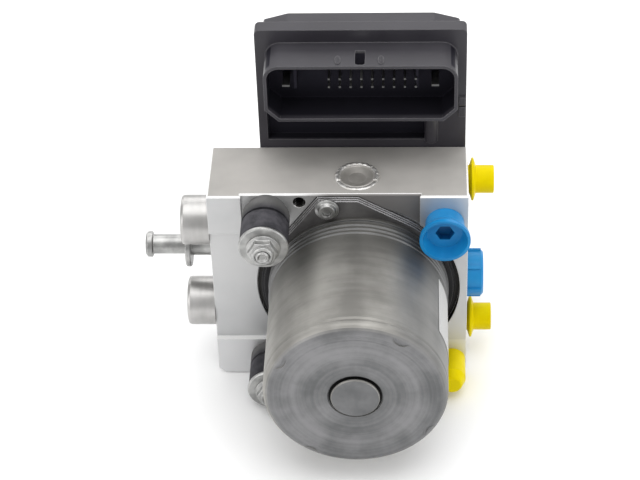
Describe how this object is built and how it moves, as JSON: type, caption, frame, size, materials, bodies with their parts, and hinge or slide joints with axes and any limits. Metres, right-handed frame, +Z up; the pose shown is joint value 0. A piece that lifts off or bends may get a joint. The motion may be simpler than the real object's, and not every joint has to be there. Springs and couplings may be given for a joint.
{
  "type": "abs brake module",
  "caption": "Anti-lock brake hydraulic unit: machined valve block with pump motor, pressure accumulators, solenoid valves and a control unit with its connector socket.",
  "frame": {"origin": "centre of the valve block's flat base face", "axes": "+Z up, away from the base face towards the connector; +Y from the motor through the block to the control unit; +X to the side with the three hydraulic ports in the side face"},
  "size_m": [0.1376, 0.1225, 0.145],
  "materials": {
    "block_metal": "satin machined",
    "zinc_steel": "zinc plated, scuffed",
    "bright_steel": "bright turned",
    "plated_hardware": "bright zinc",
    "rubber": "matte",
    "black_plastic": "moulded, fine grain",
    "yellow_plastic": "moulded",
    "blue_plastic": "moulded",
    "copper": "enamelled wire",
    "tinned_pins": "tinned",
    "ferrite": "matte",
    "carbon": "matte",
    "bronze": "sintered",
    "board": "solder mask",
    "brown_plastic": "moulded"
  },
  "bodies": {
    "module": {"accumulator_cap_lower": "bright_steel", "accumulator_cap_upper": "bright_steel", "accumulator_spring_lower": "bright_steel", "accumulator_spring_upper": "bright_steel", "bearing_outer_race": "bright_steel", "brush_holder": "brown_plastic", "brushes": "carbon", "circuit_board": "board", "connector_pins": "tinned_pins", "cup_cap": "blue_plastic", "ecu_cover": "black_plastic", "ecu_gasket": "rubber", "ecu_housing": "black_plastic", "ecu_screws": "plated_hardware", "end_bush": "bronze", "front_plug": "yellow_plastic", "inlet_valve_bodies": "bright_steel", "isolator_nuts": "plated_hardware", "isolator_rubber_lower": "rubber", "isolator_rubber_upper": "rubber", "isolator_studs": "plated_hardware", "isolator_washers": "plated_hardware", "magnets": "ferrite", "motor_can": "zinc_steel", "motor_flange": "zinc_steel", "motor_screws": "plated_hardware", "mounting_pin": "plated_hardware", "outlet_valve_bodies": "bright_steel", "power_tabs": "tinned_pins", "pump_plug_bottom": "bright_steel", "pump_plug_top": "bright_steel", "pump_sleeves": "bright_steel", "pump_spring_lower": "bright_steel", "pump_spring_upper": "bright_steel", "ribbed_cap": "blue_plastic", "side_plug_low": "yellow_plastic", "side_plug_top": "yellow_plastic", "solenoid_coils": "copper", "valve_block": "block_metal"},
    "rotor": {"shaft": "bright_steel", "eccentric_ring": "bright_steel", "armature_core": "zinc_steel", "windings": "copper", "commutator": "copper", "bearing_inner_race": "bright_steel"},
    "ball_set": {"bearing_balls": "bright_steel"},
    "pump_plunger_upper": {"pump_piston_upper": "bright_steel"},
    "pump_plunger_lower": {"pump_piston_lower": "bright_steel"},
    "accumulator_plunger_upper": {"accumulator_piston_upper": "block_metal", "accumulator_seal_upper": "rubber"},
    "accumulator_plunger_lower": {"accumulator_piston_lower": "block_metal", "accumulator_seal_lower": "rubber"},
    "inlet_plunger_1": {"inlet_armature_1": "bright_steel"},
    "outlet_plunger_1": {"outlet_armature_1": "bright_steel"},
    "inlet_plunger_2": {"inlet_armature_2": "bright_steel"},
    "outlet_plunger_2": {"outlet_armature_2": "bright_steel"},
    "inlet_plunger_3": {"inlet_armature_3": "bright_steel"},
    "outlet_plunger_3": {"outlet_armature_3": "bright_steel"},
    "inlet_plunger_4": {"inlet_armature_4": "bright_steel"},
    "outlet_plunger_4": {"outlet_armature_4": "bright_steel"}
  },
  "joints": [
    {"name": "motor_spin", "type": "hinge", "parent": "module", "child": "rotor", "pos_m": [0.0074, -0.04, 0.045], "axis": [0, -1, 0], "continuous": true},
    {"name": "ball_set_spin", "type": "hinge", "parent": "module", "child": "ball_set", "pos_m": [0.0074, -0.0186, 0.045], "axis": [0, -1, 0], "continuous": true},
    {"name": "pump_upper_stroke", "type": "slide", "parent": "module", "child": "pump_plunger_upper", "axis": [0, 0, -1], "range_m": [0, 0.0009], "deforming": ["pump_spring_upper"]},
    {"name": "pump_lower_stroke", "type": "slide", "parent": "module", "child": "pump_plunger_lower", "axis": [0, 0, 1], "range_m": [0, 0.0009], "deforming": ["pump_spring_lower"]},
    {"name": "accumulator_upper_stroke", "type": "slide", "parent": "module", "child": "accumulator_plunger_upper", "axis": [-1, 0, 0], "range_m": [0, 0.006], "stiffness_N_per_m": 900, "springref_m": -0.003, "deforming": ["accumulator_spring_upper"]},
    {"name": "accumulator_lower_stroke", "type": "slide", "parent": "module", "child": "accumulator_plunger_lower", "axis": [-1, 0, 0], "range_m": [0, 0.006], "stiffness_N_per_m": 900, "springref_m": -0.003, "deforming": ["accumulator_spring_lower"]},
    {"name": "inlet_valve_1_stroke", "type": "slide", "parent": "module", "child": "inlet_plunger_1", "axis": [0, -1, 0], "range_m": [0, 0.0003]},
    {"name": "inlet_valve_2_stroke", "type": "slide", "parent": "module", "child": "inlet_plunger_2", "axis": [0, -1, 0], "range_m": [0, 0.0003]},
    {"name": "inlet_valve_3_stroke", "type": "slide", "parent": "module", "child": "inlet_plunger_3", "axis": [0, -1, 0], "range_m": [0, 0.0003]},
    {"name": "inlet_valve_4_stroke", "type": "slide", "parent": "module", "child": "inlet_plunger_4", "axis": [0, -1, 0], "range_m": [0, 0.0003]},
    {"name": "outlet_valve_1_stroke", "type": "slide", "parent": "module", "child": "outlet_plunger_1", "axis": [0, -1, 0], "range_m": [0, 0.0003]},
    {"name": "outlet_valve_2_stroke", "type": "slide", "parent": "module", "child": "outlet_plunger_2", "axis": [0, -1, 0], "range_m": [0, 0.0003]},
    {"name": "outlet_valve_3_stroke", "type": "slide", "parent": "module", "child": "outlet_plunger_3", "axis": [0, -1, 0], "range_m": [0, 0.0003]},
    {"name": "outlet_valve_4_stroke", "type": "slide", "parent": "module", "child": "outlet_plunger_4", "axis": [0, -1, 0], "range_m": [0, 0.0003]}
  ],
  "couplings": [
    {"joint": "ball_set_spin", "follows": "motor_spin", "ratio": 0.39}
  ]
}
